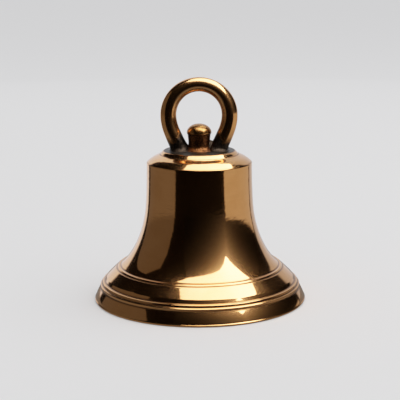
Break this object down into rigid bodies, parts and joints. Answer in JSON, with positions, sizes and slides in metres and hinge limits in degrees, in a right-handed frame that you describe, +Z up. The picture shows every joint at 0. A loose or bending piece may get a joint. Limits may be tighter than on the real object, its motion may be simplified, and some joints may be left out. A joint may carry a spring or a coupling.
{
  "type": "ship bell",
  "caption": "Polished cast-bronze ship's bell with a hanging loop and domed boss on its crown, and a ball clapper swinging on a pin inside.",
  "frame": {"origin": "centre of the mouth, on the plane that the rim stands on", "axes": "+Z up along the bell's axis; the hanging loop lies in the XZ plane and the clapper's pin lies along Y, its head towards -Y, which is the front"},
  "size_m": [0.2, 0.2, 0.21],
  "materials": {
    "buffed_bronze": "turned and buffed bright, with a warm brown cast",
    "cast_bronze": "as-cast bronze, dull and slightly rough",
    "staple_steel": "turned stainless steel",
    "washer_brass": "turned brass",
    "pad_leather": "oiled leather"
  },
  "bodies": {
    "bell": {"bell_body": "buffed_bronze", "crown_loop": "buffed_bronze", "crown_boss": "buffed_bronze", "clapper_staple": "staple_steel", "staple_pad": "pad_leather", "pivot_pin": "staple_steel", "pin_washer_front": "washer_brass", "pin_washer_back": "washer_brass", "split_pin": "staple_steel"},
    "clapper": {"clapper_bush": "washer_brass", "clapper_shank": "staple_steel", "clapper_ball": "cast_bronze", "ball_washer": "staple_steel", "lanyard_eye": "washer_brass"}
  },
  "joints": [
    {"name": "clapper_swing", "type": "hinge", "parent": "bell", "child": "clapper", "pos_m": [0, 0, 0.1139], "axis": [0, 1, 0], "range_deg": [-30.5, 30.5]}
  ]
}
